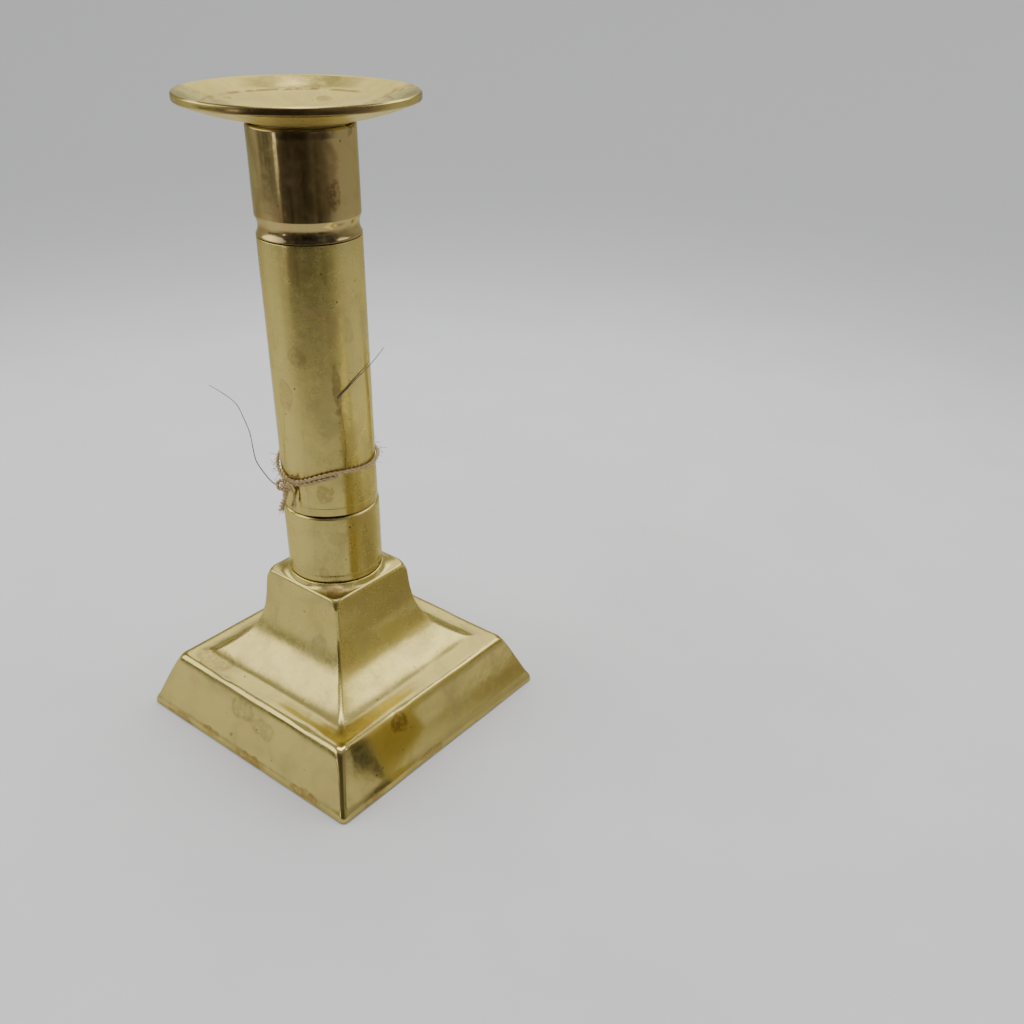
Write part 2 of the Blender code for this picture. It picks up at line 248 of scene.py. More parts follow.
def bridge(shape, rings, closed=False, slots=None):
    """Faces over a stack of rings of the same count; a ring of one point is a pole.

    slots gives a material for each row of faces."""
    pairs = list(zip(rings, rings[1:]))
    if closed:
        pairs.append((rings[-1], rings[0]))
    for row, (low, high) in enumerate(pairs):
        count = max(len(low), len(high))
        for i in range(count):
            j = (i + 1) % count
            if len(low) == 1:
                corners = (low[0], high[j], high[i])
            elif len(high) == 1:
                corners = (low[i], low[j], high[0])
            else:
                corners = (low[i], low[j], high[j], high[i])
            face = shape.faces.new(corners)
            if slots:
                face.material_index = slots[row]


def finish_mesh(name, shape, looks, body, node, recalc=True):
    """The object made from shape, riding on body, in place of the CAD node, if there is one."""
    if recalc:
        bmesh.ops.recalc_face_normals(shape, faces=shape.faces)
    data = bpy.data.meshes.new(name)
    shape.to_mesh(data)
    shape.free()
    data.shade_smooth()
    for look in looks:
        data.materials.append(look)
    made = bpy.data.objects.new(name, data)
    bpy.context.scene.collection.objects.link(made)
    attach(made, body)
    if node:
        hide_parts(node)
    return made


def rounded(outline, closed=True, steps=4):
    """Rounds each corner of an outline of (radius, height, rounding) and drops the rounding."""
    count = len(outline)
    most = 0.45  # of the step to the next corner
    path = []
    for i, (x, z, turn) in enumerate(outline):
        here = Vector((x, z))
        if turn == 0 or (not closed and i in (0, count - 1)):
            path.append((x, z))
            continue
        before = Vector(outline[i - 1][:2]) - here
        after = Vector(outline[(i + 1) % count][:2]) - here
        cut_a = here + before.normalized() * min(turn, before.length * most)
        cut_b = here + after.normalized() * min(turn, after.length * most)
        for k in range(steps + 1):
            t = k / steps
            p = cut_a * (1 - t) ** 2 + here * 2 * t * (1 - t) + cut_b * t ** 2
            path.append((p.x, p.y))
    return path


def split_long(path, longest, closed=True):
    """Adds points so that no step of the path is longer than this."""
    out = []
    last = len(path) if closed else len(path) - 1
    for i in range(last):
        a, b = Vector(path[i]), Vector(path[(i + 1) % len(path)])
        parts = max(1, math.ceil((b - a).length / longest))
        out += [tuple(a.lerp(b, k / parts)) for k in range(parts)]
    if not closed:
        out.append(path[-1])
    return out


def wobble(shape, amount, size, seed):
    """Small unevenness of hand-finished metal: moves points along their normals, in mm."""
    shape.normal_update()
    offset = Vector((seed * 7.31, seed * 3.77, seed * 5.13))
    for v in shape.verts:
        v.co += v.normal * noise.noise(v.co / (size * MM) + offset) * amount * MM


def lathe(path, closed=True, slot_at=None, turns=TURNS):
    """Turns a path of (radius, height) in mm round the Z axis. slot_at(radius, height) picks a material."""
    shape = bmesh.new()
    rings = []
    for radius, height in path:
        count = 1 if radius < 1e-6 else turns
        rings.append([shape.verts.new((radius * MM * math.cos(2 * math.pi * i / turns),
                                       radius * MM * math.sin(2 * math.pi * i / turns), height * MM))
                      for i in range(count)])
    slots = None
    if slot_at:
        pairs = list(zip(path, path[1:] + path[:1]))
        slots = [slot_at((a[0] + b[0]) / 2, (a[1] + b[1]) / 2) for a, b in pairs]
    bridge(shape, rings, closed, slots)
    bmesh.ops.recalc_face_normals(shape, faces=shape.faces)
    return shape


def carried(points):
    """Each point with two directions square to the route, carried along it without twist."""
    side = (points[1] - points[0]).normalized().orthogonal().normalized()
    for i, p in enumerate(points):
        step = points[min(i + 1, len(points) - 1)] - points[max(i - 1, 0)]
        ahead = step.normalized()
        side = (side - ahead * side.dot(ahead)).normalized()
        yield p, side, ahead.cross(side)


def tube(shape, points, radii, sides=6):
    """A closed tube along points; radii is a number or one for each point."""
    if not hasattr(radii, "__len__"):
        radii = [radii] * len(points)
    rings = []
    for (p, side, other), radius in zip(carried(points), radii):
        rings.append([shape.verts.new(p + (side * math.cos(2 * math.pi * k / sides)
                                           + other * math.sin(2 * math.pi * k / sides)) * radius)
                      for k in range(sides)])
    bridge(shape, rings)
    shape.faces.new(rings[0][::-1])
    shape.faces.new(rings[-1])


def smooth_route(points, per=8):
    """A smooth curve through the points (Catmull-Rom)."""
    out = []
    ext = [points[0] * 2 - points[1], *points, points[-1] * 2 - points[-2]]
    for a, b, c, d in zip(ext, ext[1:], ext[2:], ext[3:]):
        for k in range(per):
            t = k / per
            out.append(0.5 * (2 * b + (c - a) * t + (2 * a - 5 * b + 4 * c - d) * t ** 2
                              + (3 * b - a - 3 * c + d) * t ** 3))
    out.append(points[-1])
    return out


def polar(degrees, reach, height):
    """A point, in mm, this far from the Z axis."""
    a = math.radians(degrees)
    return Vector((reach * math.cos(a), reach * math.sin(a), height)) * MM


# ---------------------------------------------------------------- materials

class Look:
    """A Principled material and short ways to add nodes to it."""

    def __init__(self, name, colour, metallic, roughness):
        self.made = bpy.data.materials.new(name)
        self.made.use_nodes = True
        self.tree = self.made.node_tree
        self.shader = self.tree.nodes["Principled BSDF"]
        self.shader.inputs["Base Color"].default_value = colour
        self.shader.inputs["Metallic"].default_value = metallic
        self.shader.inputs["Roughness"].default_value = roughness
        self.coords = self.tree.nodes.new("ShaderNodeTexCoord").outputs["Object"]

    def node(self, kind, inputs=(), **settings):
        made = self.tree.nodes.new(kind)
        for key, value in settings.items():
            setattr(made, key, value)
        for key, value in dict(inputs).items():
            if isinstance(value, bpy.types.NodeSocket):
                self.tree.links.new(value, made.inputs[key])
            else:
                made.inputs[key].default_value = value
        return made

    def link(self, socket, name):
        self.tree.links.new(socket, self.shader.inputs[name])

    def place(self, scale, stretch=(1, 1, 1), shift=(0, 0, 0)):
        """The object's coordinates, scaled."""
        sizes = tuple(scale * s for s in stretch)
        inputs = {"Vector": self.coords, "Scale": sizes, "Location": shift}
        return self.node("ShaderNodeMapping", inputs).outputs[0]

    def noise(self, vector, scale=1.0, detail=2.0, rough=0.5, twist=0.0):
        inputs = {"Vector": vector, "Scale": scale, "Detail": detail, "Roughness": rough,
                  "Distortion": twist}
        return self.node("ShaderNodeTexNoise", inputs).outputs["Fac"]

    def cells(self, vector):
        """Distance to the nearest of a scatter of points."""
        return self.node("ShaderNodeTexVoronoi", {"Vector": vector, "Scale": 1.0}).outputs["Distance"]

    def ramp(self, value, stops):
        made = self.node("ShaderNodeValToRGB", {"Fac": value})
        while len(made.color_ramp.elements) < len(stops):
            made.color_ramp.elements.new(0.5)
        for element, (at, colour) in zip(made.color_ramp.elements, stops):
            element.position = at
            element.color = colour
        return made.outputs["Color"]

    def range(self, value, low, high, to_low=0.0, to_high=1.0):
        inputs = {"Value": value, "From Min": low, "From Max": high, "To Min": to_low,
                  "To Max": to_high}
        return self.node("ShaderNodeMapRange", inputs, interpolation_type="SMOOTHSTEP").outputs[0]

    def math(self, kind, a, b=0.0):
        return self.node("ShaderNodeMath", {0: a, 1: b}, operation=kind).outputs[0]

    def times(self, a, b):
        return self.math("MULTIPLY", a, b)

    def mix(self, share, a, b):
        made = self.tree.nodes.new("ShaderNodeMix")
        made.data_type = "RGBA"
        for name, value in (("Factor", share), ("A", a), ("B", b)):
            socket = made.inputs[name]
            if isinstance(value, bpy.types.NodeSocket):
                self.tree.links.new(value, socket)
            else:
                socket.default_value = value
        return made.outputs["Result"]

    def vector_math(self, kind, inputs):
        return self.node("ShaderNodeVectorMath", inputs, operation=kind)

    def warp(self, amount, size):
        """The object's coordinates, pushed about by noise."""
        inputs = {"Vector": self.place(1 / (size * MM)), "Scale": 1.0, "Detail": 3.0}
        push = self.node("ShaderNodeTexNoise", inputs).outputs["Color"]
        centred = self.vector_math("SUBTRACT", {0: push, 1: (0.5, 0.5, 0.5)}).outputs[0]
        scaled = self.vector_math("SCALE", {0: centred, "Scale": amount * MM}).outputs[0]
        return self.vector_math("ADD", {0: self.coords, 1: scaled}).outputs[0]

    def near(self, warped, centre, radius, soft=0.5, squeeze=(1, 1, 1)):
        """1 inside a spot of this radius about centre (mm), falling to 0 over the soft share of it."""
        origin = tuple(-c * MM * s for c, s in zip(centre, squeeze))
        inputs = {"Vector": warped, "Location": origin, "Scale": squeeze}
        moved = self.node("ShaderNodeMapping", inputs).outputs[0]
        far = self.vector_math("LENGTH", {0: moved}).outputs["Value"]
        return self.range(far, radius * MM, radius * (1 - soft) * MM)

    def height(self):
        return self.node("ShaderNodeSeparateXYZ", {0: self.coords}).outputs["Z"]

    def reach(self):
        """Distance from the Z axis."""
        split = self.node("ShaderNodeSeparateXYZ", {0: self.coords})
        inputs = {"X": split.outputs["X"], "Y": split.outputs["Y"]}
        flat = self.node("ShaderNodeCombineXYZ", inputs).outputs[0]
        return self.vector_math("LENGTH", {0: flat}).outputs["Value"]

    def bump(self, layers, strength=1.0):
        """layers: (socket, depth in metres), from the coarsest."""
        normal = None
        for value, depth in layers:
            inputs = {"Height": value, "Distance": depth, "Strength": strength}
            if normal:
                inputs["Normal"] = normal
            normal = self.node("ShaderNodeBump", inputs).outputs["Normal"]
        self.link(normal, "Normal")


CLEAN = (0.515, 0.425, 0.135, 1)
DULL = (0.42, 0.345, 0.125, 1)
OLIVE = (0.32, 0.285, 0.11, 1)
BROWN = (0.20, 0.12, 0.045, 1)
ROSE = (0.56, 0.33, 0.16, 1)
RUST = (0.30, 0.165, 0.045, 1)
SOOT = (0.012, 0.013, 0.018, 1)


def brass_look(name, base=CLEAN, dull=DULL, rough=(0.20, 0.32), stains=(), seed=0.0, streaks=0.3,
               turned=False):
    """Worn polished brass. stains: (centre mm, radius mm, colour, strength, squeeze).

    rough is the roughness of clean and of dull metal. Turned metal blurs its reflections
    along the column."""
    look = Look(name, base, 1.0, 0.25)
    look.shader.inputs["Specular Tint"].default_value = (0.78, 0.74, 0.55, 1)
    if turned:
        look.shader.inputs["Anisotropic"].default_value = 0.6
        look.shader.inputs["Anisotropic Rotation"].default_value = 0.25
        round_axis = look.node("ShaderNodeTangent", direction_type="RADIAL", axis="Z").outputs[0]
        look.link(round_axis, "Tangent")
    shift = (seed, seed * 1.7, seed * 0.6)
    cloud = look.noise(look.place(1 / (13 * MM), shift=shift), 1.0, 5.0, 0.6, 0.4)
    fine = look.noise(look.place(1 / (2.2 * MM), shift=shift), 1.0, 4.0, 0.65)
    drag = look.noise(look.place(1 / (3.0 * MM), (1, 1, 0.08), shift), 1.0, 3.0, 0.6)
    colour = look.mix(look.range(cloud, 0.42, 0.72), base, dull)
    colour = look.mix(look.times(look.range(drag, 0.55, 0.8), streaks), colour, OLIVE)
    blush = look.noise(look.place(1 / (8 * MM), shift=(seed * 2.3, 4.0, seed)), 1.0, 3.0, 0.6)
    colour = look.mix(look.times(look.range(blush, 0.52, 0.72), 0.28), colour, ROSE)
    pits = look.range(look.cells(look.place(1 / (3.1 * MM), shift=shift)), 0.13, 0.06)
    few = look.noise(look.place(1 / (9 * MM), shift=(5, seed, 2)), 1.0, 2.0, 0.5)
    pitted = look.times(look.times(pits, look.range(few, 0.50, 0.60)), 0.85)
    colour = look.mix(pitted, colour, (0.10, 0.065, 0.03, 1))
    speck = look.noise(look.place(1 / (0.8 * MM), shift=shift), 1.0, 3.0, 0.7)
    colour = look.mix(look.times(look.range(speck, 0.66, 0.76), 0.5), colour, BROWN)
    warped = look.warp(3.0, 3.5)
    broken = look.noise(look.place(1 / (1.5 * MM), shift=shift), 1.0, 3.0, 0.65)
    patchy = look.range(broken, 0.36, 0.58, 0.35, 1.0)
    dirt = None
    for centre, radius, tint, strength, squeeze in stains:
        spot = look.near(warped, centre, radius, 0.5, squeeze)
        edge = look.times(look.times(spot, look.math("SUBTRACT", 1.0, spot)), 2.0 * strength)
        mask = look.times(look.times(spot, patchy), 0.75 * strength)
        colour = look.mix(mask, colour, tint)
        colour = look.mix(look.times(edge, patchy), colour, BROWN)
        dirt = mask if dirt is None else look.math("MAXIMUM", dirt, mask)
    look.link(colour, "Base Color")
    shine = look.range(cloud, 0.3, 0.75, rough[0], rough[1])
    shine = look.math("ADD", shine, look.range(fine, 0.45, 0.75, 0.0, 0.07))
    if dirt is not None:
        shine = look.math("ADD", shine, look.times(dirt, 0.14))
    look.link(shine, "Roughness")
    scratch = look.noise(look.place(1 / (0.5 * MM), (1, 1, 0.12), shift), 1.0, 2.0, 0.6)
    buffed = look.noise(look.place(1 / (5 * MM), shift=shift), 1.0, 2.0, 0.5)
    look.bump([(buffed, 0.10 * MM), (fine, 0.018 * MM), (scratch, 0.006 * MM)], 0.6)
    return look


def twine_look(name):
    look = Look(name, (0.40, 0.28, 0.17, 1), 0.0, 0.9)
    fibres = look.noise(look.place(1 / (0.25 * MM)), 1.0, 4.0, 0.7)
    patches = look.noise(look.place(1 / (3 * MM)), 1.0, 3.0, 0.6)
    colour = look.ramp(fibres, [(0.3, (0.25, 0.165, 0.07, 1)), (0.52, (0.52, 0.385, 0.185, 1)),
                                (0.72, (0.74, 0.60, 0.34, 1))])
    colour = look.mix(look.range(patches, 0.5, 0.75, 0.0, 0.5), colour, (0.31, 0.205, 0.095, 1))
    look.link(colour, "Base Color")
    look.shader.inputs["Sheen Weight"].default_value = 0.12
    look.shader.inputs["Sheen Roughness"].default_value = 0.5
    look.bump([(fibres, 0.06 * MM)], 0.8)
    return look


def soot_look(name):
    """The casting's blackened inside, with brown patches and pale specks."""
    look = Look(name, SOOT, 0.0, 0.6)
    patch = look.noise(look.place(1 / (16 * MM)), 1.0, 4.0, 0.6)
    grain = look.noise(look.place(1 / (1.0 * MM)), 1.0, 5.0, 0.7)
    colour = look.mix(look.range(patch, 0.50, 0.68), SOOT, (0.085, 0.055, 0.028, 1))
    colour = look.mix(look.times(look.range(grain, 0.5, 0.72), 0.55), colour, (0.075, 0.075, 0.08, 1))
    dots = look.range(look.cells(look.place(1 / (1.9 * MM))), 0.20, 0.10)
    some = look.noise(look.place(1 / (7 * MM), shift=(3, 1, 2)), 1.0, 2.0, 0.6)
    dotted = look.times(dots, look.range(some, 0.46, 0.60))
    colour = look.mix(dotted, colour, (0.62, 0.60, 0.50, 1))
    look.link(colour, "Base Color")
    look.link(look.range(grain, 0.3, 0.75, 0.42, 0.75), "Roughness")
    lumps = look.noise(look.place(1 / (3 * MM)), 1.0, 3.0, 0.6)
    look.bump([(lumps, 0.25 * MM), (grain, 0.12 * MM)], 0.8)
    return look


def ground_look(name):
    """The foot's rim, ground flat and grainy."""
    look = Look(name, CLEAN, 1.0, 0.42)
    grain = look.noise(look.place(1 / (0.35 * MM)), 1.0, 4.0, 0.75)
    lines = look.noise(look.place(1 / (0.4 * MM), (1, 0.08, 1)), 1.0, 2.0, 0.6)
    colour = look.mix(look.range(grain, 0.5, 0.62), (0.62, 0.50, 0.27, 1), (0.12, 0.085, 0.045, 1))
    look.link(colour, "Base Color")
    look.link(look.range(grain, 0.35, 0.7, 0.34, 0.6), "Roughness")
    look.bump([(grain, 0.10 * MM), (lines, 0.03 * MM)], 0.8)
    return look


# ---------------------------------------------------------------- foot

CORNER_STEPS = 8  # faces round each corner of the foot's squares
SIDE_STEPS = 22  # faces along each side


def square_ring(half, corner, height):
    """A square with rounded corners, anticlockwise."""
    ring = []
    for quarter in range(4):
        turn = quarter * math.pi / 2
        ux, uy = math.cos(turn), math.sin(turn)
        for i in range(CORNER_STEPS + 1):
            a = i * math.pi / 2 / CORNER_STEPS
            x, y = half - corner + corner * math.cos(a), half - corner + corner * math.sin(a)
            ring.append((x * ux - y * uy, x * uy + y * ux, height))
        for i in range(1, SIDE_STEPS):
            x = (half - corner) * (1 - 2 * i / SIDE_STEPS)
            ring.append((x * ux - half * uy, x * uy + half * ux, height))
    return ring


def round_ring(radius, height, like):
    """A circle whose points lie in the same directions as those of another ring."""
    bearings = [math.atan2(y, x) for x, y, _ in like]
    return [(radius * math.cos(a), radius * math.sin(a), height) for a in bearings]


def hollow_sweep():
    """The underside of the cove, from the bottom up, as (half side, height)."""
    outer, high = 29.8, 35.5
    inward, fall = 16.6, 20.8
    steps, power = 22, 4 / 3
    sweep = []
    for i in range(steps + 1):
        a = math.pi / 2 * (1 - i / steps)
        sweep.append((outer - inward * abs(math.cos(a)) ** power,
                      high - fall * abs(math.sin(a)) ** power))
    return sweep


def between(value, low, high):
    """0 at low, 1 at high, and a straight line from one to the other."""
    return max(0.0, min(1.0, (value - low) / (high - low)))


def corner_outside(half, height):
    """How round the square's corners are along the foot's outline, mm."""
    if half > 30:  # band and crest
        return 1.6 + 0.8 * between(height, 12, 17.5)
    return 1.3 - 0.4 * between(height, 17, 36) + 1.8 * between(height, 44.0, PLINTH)


def corner_inside(height):
    return 1.0 + 0.9 * between(height, 16, 36)


def foot_outside():
    """The outside from the floor to the plinth's top, as (half side, height)."""
    band = [(BAND - 0.5, 0.0, 0.0), (BAND, 0.4, 0.3), (41.85, 1.7, 0.6), (40.9, 3.4, 0.9),
            (38.9, 8.4, 2.0), (36.8, 13.4, 1.5)]
    crest = [(35.8, 15.8, 0.9), (35.0, 17.2, 0.7), (34.1, 17.75, 0.6)]
    sweep = [(33.0, 17.9), (30.6, 17.97), (28.0, 18.35), (25.4, 19.75), (22.5, 22.2), (19.5, 25.4),
             (17.4, 29.2), (16.0, 33.4), (15.25, 38.0)]
    climb = [(p.x, p.y, 0.0) for p in smooth_route([Vector(p) for p in sweep], 5)]
    top = [(14.75, 44.0, 1.2), (14.5, 45.8, 0.6), (14.1, PLINTH, 0.0)]
    return split_long(rounded(band + crest + climb + top, closed=False, steps=6), 1.2, closed=False)


def foot_inside():
    """The hollow from the plinth's ceiling down to the floor, as (half side, height)."""
    ceiling = [(10.4, CEILING), (12.2, CEILING), (12.6, 43.8)]
    sweep = hollow_sweep()[::-1]
    skirt = [(32.7, 14.7), (33.7, 13.5), (35.8, 8.5), (37.7, 4.0), (39.55, 0.25), (39.8, 0.0)]
    return split_long(ceiling + sweep + skirt, 1.6, closed=False)


def seat_blend(square, part):
    """A ring part of the way from the plinth's square top to the round seat."""
    seat = round_ring(13.65, 0.0, square)
    height = PLINTH + 1.6 * part ** 2.2
    return [(x + (u - x) * part, y + (v - y) * part, height)
            for (x, y, _), (u, v, _) in zip(square, seat)]


def foot_body():
    brass, ground, sooty = 0, 1, 2
    bore = 9.8
    outside = [square_ring(half, corner_outside(half, z), z) for half, z in foot_outside()]
    inside = [square_ring(half, corner_inside(z), z) for half, z in foot_inside()]
    seat = [seat_blend(outside[-1], i / 8) for i in range(1, 9)]
    seat += [round_ring(r, z, outside[-1]) for r, z in
             [(13.55, 48.35), (13.3, 48.44), (11.5, SEAT), (bore, SEAT), (bore, 46.5), (bore, CEILING)]]
    rings = outside + seat + inside
    slots = [brass] * (len(outside) + len(seat) - 2) + [sooty] * (len(inside) + 1) + [ground]
    shape = bmesh.new()
    rows = [[shape.verts.new(Vector(p) * MM) for p in ring] for ring in rings]
    bridge(shape, rows, closed=True, slots=slots)
    bmesh.ops.recalc_face_normals(shape, faces=shape.faces)
    uneven_foot(shape)
    stains = [
        ((-13.3, -36.4, 15.0), 3.5, BROWN, 1.0, (1, 0.5, 1)),
        ((-36.6, 4.0, 13.3), 3.6, OLIVE, 0.75, (0.5, 0.62, 1)),
        ((-37.6, -5.5, 11.4), 3.0, OLIVE, 0.55, (0.5, 0.5, 1)),
        ((-40.2, 6.5, 4.8), 0.8, BROWN, 0.9, (1, 1, 1)),
        ((-41.8, 29.0, 0.9), 1.7, RUST, 0.8, (1, 0.25, 1)),
        ((-41.2, 15.0, 2.0), 1.5, RUST, 0.8, (1, 0.3, 1)),
        ((-41.5, -3.0, 1.5), 2.1, RUST, 0.9, (1, 0.3, 1)),
        ((-41.3, -26.0, 1.8), 1.8, RUST, 0.9, (1, 0.25, 1)),
        ((-30.0, -41.5, 1.4), 1.5, RUST, 0.8, (0.3, 1, 1)),
        ((-6.0, -41.5, 1.6), 1.4, RUST, 0.7, (0.25, 1, 1)),
        ((-10.9, -10.9, 47.9), 4.6, (0.20, 0.11, 0.06, 1), 0.9, (1, 1, 2.4)),
        ((-30.0, 24.0, 17.9), 3.5, (0.30, 0.21, 0.07, 1), 0.7, (0.8, 0.4, 1)),
        ((-17.0, -9.0, 30.0), 3.5, OLIVE, 0.5, (1, 1, 0.7)),
        ((20.0, 37.5, 12.0), 3.0, OLIVE, 0.6, (1, 1, 1)),
        ((37.5, -14.0, 11.0), 2.6, BROWN, 0.5, (1, 1, 1)),
    ]
    look = brass_look("foot_brass", rough=(0.13, 0.22), stains=stains, seed=1.3, streaks=0.12)
    shine = look.shader.inputs["Roughness"].links[0].from_socket
    satin = look.range(look.height(), 17.0 * MM, 20.0 * MM, 0.0, 0.09)  # the hollow curve is less polished
    look.link(look.math("ADD", shine, satin), "Roughness")
    looks = [look.made, ground_look("ground_rim").made, soot_look("blackened_casting").made]
    return finish_mesh("foot_body", shape, looks, ROOT, "base_casting", recalc=False)


def dent(shape, centre, radius, depth):
    """A round knock in the surface about centre, mm."""
    middle = Vector(centre) * MM
    for v in shape.verts:
        share = (v.co - middle).length / (radius * MM)
        if share < 1:
            v.co -= v.normal * (1 - share * share) ** 2 * depth * MM


def uneven_foot(shape):
    """The casting is filed and buffed by hand, so its faces roll a little. It still stands flat."""
    shape.normal_update()
    for v in shape.verts:
        if v.co.z < 0.1 * MM:
            continue
        amount = 0.10 + 0.10 * min(1.0, v.co.z / (20 * MM))
        roll = noise.noise(v.co / (14 * MM) + Vector((3.1, 7.7, 1.9)))
        ripple = noise.noise(v.co / (5 * MM) + Vector((9.1, 2.7, 4.4))) * 0.25
        v.co += v.normal * (roll + ripple) * amount * MM
    dent(shape, (-33.6, 14.1, 17.9), 1.6, 0.35)
    dent(shape, (-34.2, -20.0, 17.6), 1.2, 0.2)
    dent(shape, (-12.0, -34.3, 17.6), 1.5, 0.25)
    dent(shape, (33.8, 8.0, 17.8), 1.4, 0.3)


# ---------------------------------------------------------------- column

def turned_line(radius, height, depth=0.22, half=0.28):
    """A fine incised line with softened lips, listed from the top."""
    return [(radius, height + half, 0.1), (radius - depth, height, 0.08), (radius, height - half, 0.1)]


def darken(look, share, colour):
    """Lays a colour over what the look has so far."""
    old = look.shader.inputs["Base Color"].links[0].from_socket
    look.link(look.mix(share, old, colour), "Base Color")


def add_joint_shade(look):
    """Painted shade in the gap of the joint below the tube, widest on the side facing the viewer."""
    off = look.math("ABSOLUTE", look.math("SUBTRACT", look.height(), TUBE_LOW * MM))
    side = look.near(look.coords, (-9.4, -9.4, 69.4), 10.0, 0.8)
    width = look.times(side, 0.42 * MM)
    line = look.range(look.math("SUBTRACT", width, off), -0.10 * MM, 0.10 * MM)
    darken(look, look.times(line, look.range(side, 0.0, 0.5)), (0.06, 0.036, 0.015, 1))


def add_dark_band(look, low, high, centre, radius, colour, share):
    """Darkens a band between two heights on the side of the column where centre is, mm."""
    soft = 0.3
    lower = look.range(look.height(), (low - soft) * MM, (low + soft) * MM)
    upper = look.range(look.height(), (high + soft) * MM, (high - soft) * MM)
    broken_up = look.noise(look.place(1 / (2.5 * MM), shift=(low, 1, 2)), 1.0, 3.0, 0.6)
    broken_up = look.range(broken_up, 0.3, 0.55, 0.5, 1.0)
    side = look.times(look.near(look.coords, centre, radius, 0.5), broken_up)
    darken(look, look.times(look.times(lower, upper), look.times(side, share)), colour)


def column_foot():
    low, high = FERRULE_LOW, 69.3
    spigot_low, spigot_high = 42.0, 78.8
    outline = [
        (11.5, spigot_high, 0.2), (11.5, high, 0), (12.9, high, 0.15), (FERRULE, 68.85, 0.3),
        *turned_line(FERRULE, low + 2.0, 0.07, 0.25),
        (13.45, low + 0.35, 0.25), (13.25, low, 0.1), (9.5, low, 0),
        (9.5, spigot_low, 0.2), (8.3, spigot_low, 0.2), (8.3, low + 1.8, 0.5), (10.5, low + 3.8, 0.5),
        (10.5, spigot_high, 0.2),
    ]
    shape = lathe(split_long(rounded(outline), 2.0))
    wobble(shape, 0.05, 11, 2)
    stains = [
        ((-11.2, -7.4, 51.5), 2.2, BROWN, 0.35, (1, 1, 1)),
        ((-8.0, -10.7, 63.0), 2.6, OLIVE, 0.3, (1, 1, 1)),
    ]
    look = brass_look("foot_ferrule_brass", stains=stains, seed=2.1, turned=True)
    # painted shade in the joint below the tube
    add_joint_shade(look)
    return finish_mesh("column_foot", shape, [look.made], ROOT, "foot_ferrule",
                       recalc=False)


def column_shaft():
    low, high = TUBE_LOW, TUBE_HIGH
    outline = [
        (11.8, high, 0.1), (12.95, high, 0.15), (COLUMN, high - 0.4, 0.1),
        *turned_line(COLUMN, low + 2.7, 0.045, 0.2),
        (COLUMN, low + 0.2, 0.1), (12.85, low, 0.05), (11.8, low, 0.1),
    ]
    shape = lathe(split_long(rounded(outline), 1.6))
    wobble(shape, 0.07, 17, 5)
    wobble(shape, 0.02, 5, 8)
    stains = [
        ((-12.07, -4.8, 114.6), 2.4, BROWN, 0.45, (1, 1, 0.8)),
        ((-9.75, -8.56, 76.6), 2.8, BROWN, 0.45, (1, 1, 1.0)),
        ((-13.0, -0.2, 103.9), 3.0, (0.30, 0.17, 0.08, 1), 0.45, (1, 1, 0.6)),
        ((-8.2, -10.0, 105.0), 3.2, ROSE, 0.15, (1, 1, 0.4)),
        ((-5.6, -11.7, 106.0), 1.3, BROWN, 0.6, (1, 1, 0.15)),
        ((-1.5, -12.9, 121.0), 2.0, OLIVE, 0.4, (1, 1, 0.5)),
        ((9.0, 9.4, 95.0), 3.0, BROWN, 0.3, (1, 1, 0.6)),
        ((3.0, 12.6, 120.0), 2.5, OLIVE, 0.35, (1, 1, 0.6)),
    ]
    look = brass_look("shaft_brass", stains=stains, seed=3.4, streaks=0.35, turned=True)
    # painted shade in the joint below the tube
    add_joint_shade(look)
    return finish_mesh("column_shaft", shape, [look.made], ROOT, "column_tube",
                       recalc=False)


def groove_points():
    """The hollow turned band low on the head: a shallow arc, listed from the top."""
    half, depth, centre = 2.15, 0.62, 144.85
    sweep = (half * half + depth * depth) / (2 * depth)
    reach = math.asin(half / sweep)
    out = []
    for i in range(13):
        a = reach * (1 - i / 6)
        cut = sweep * math.cos(a) - (sweep - depth)
        out.append((COLUMN - cut, centre + sweep * math.sin(a), 0))
    return out


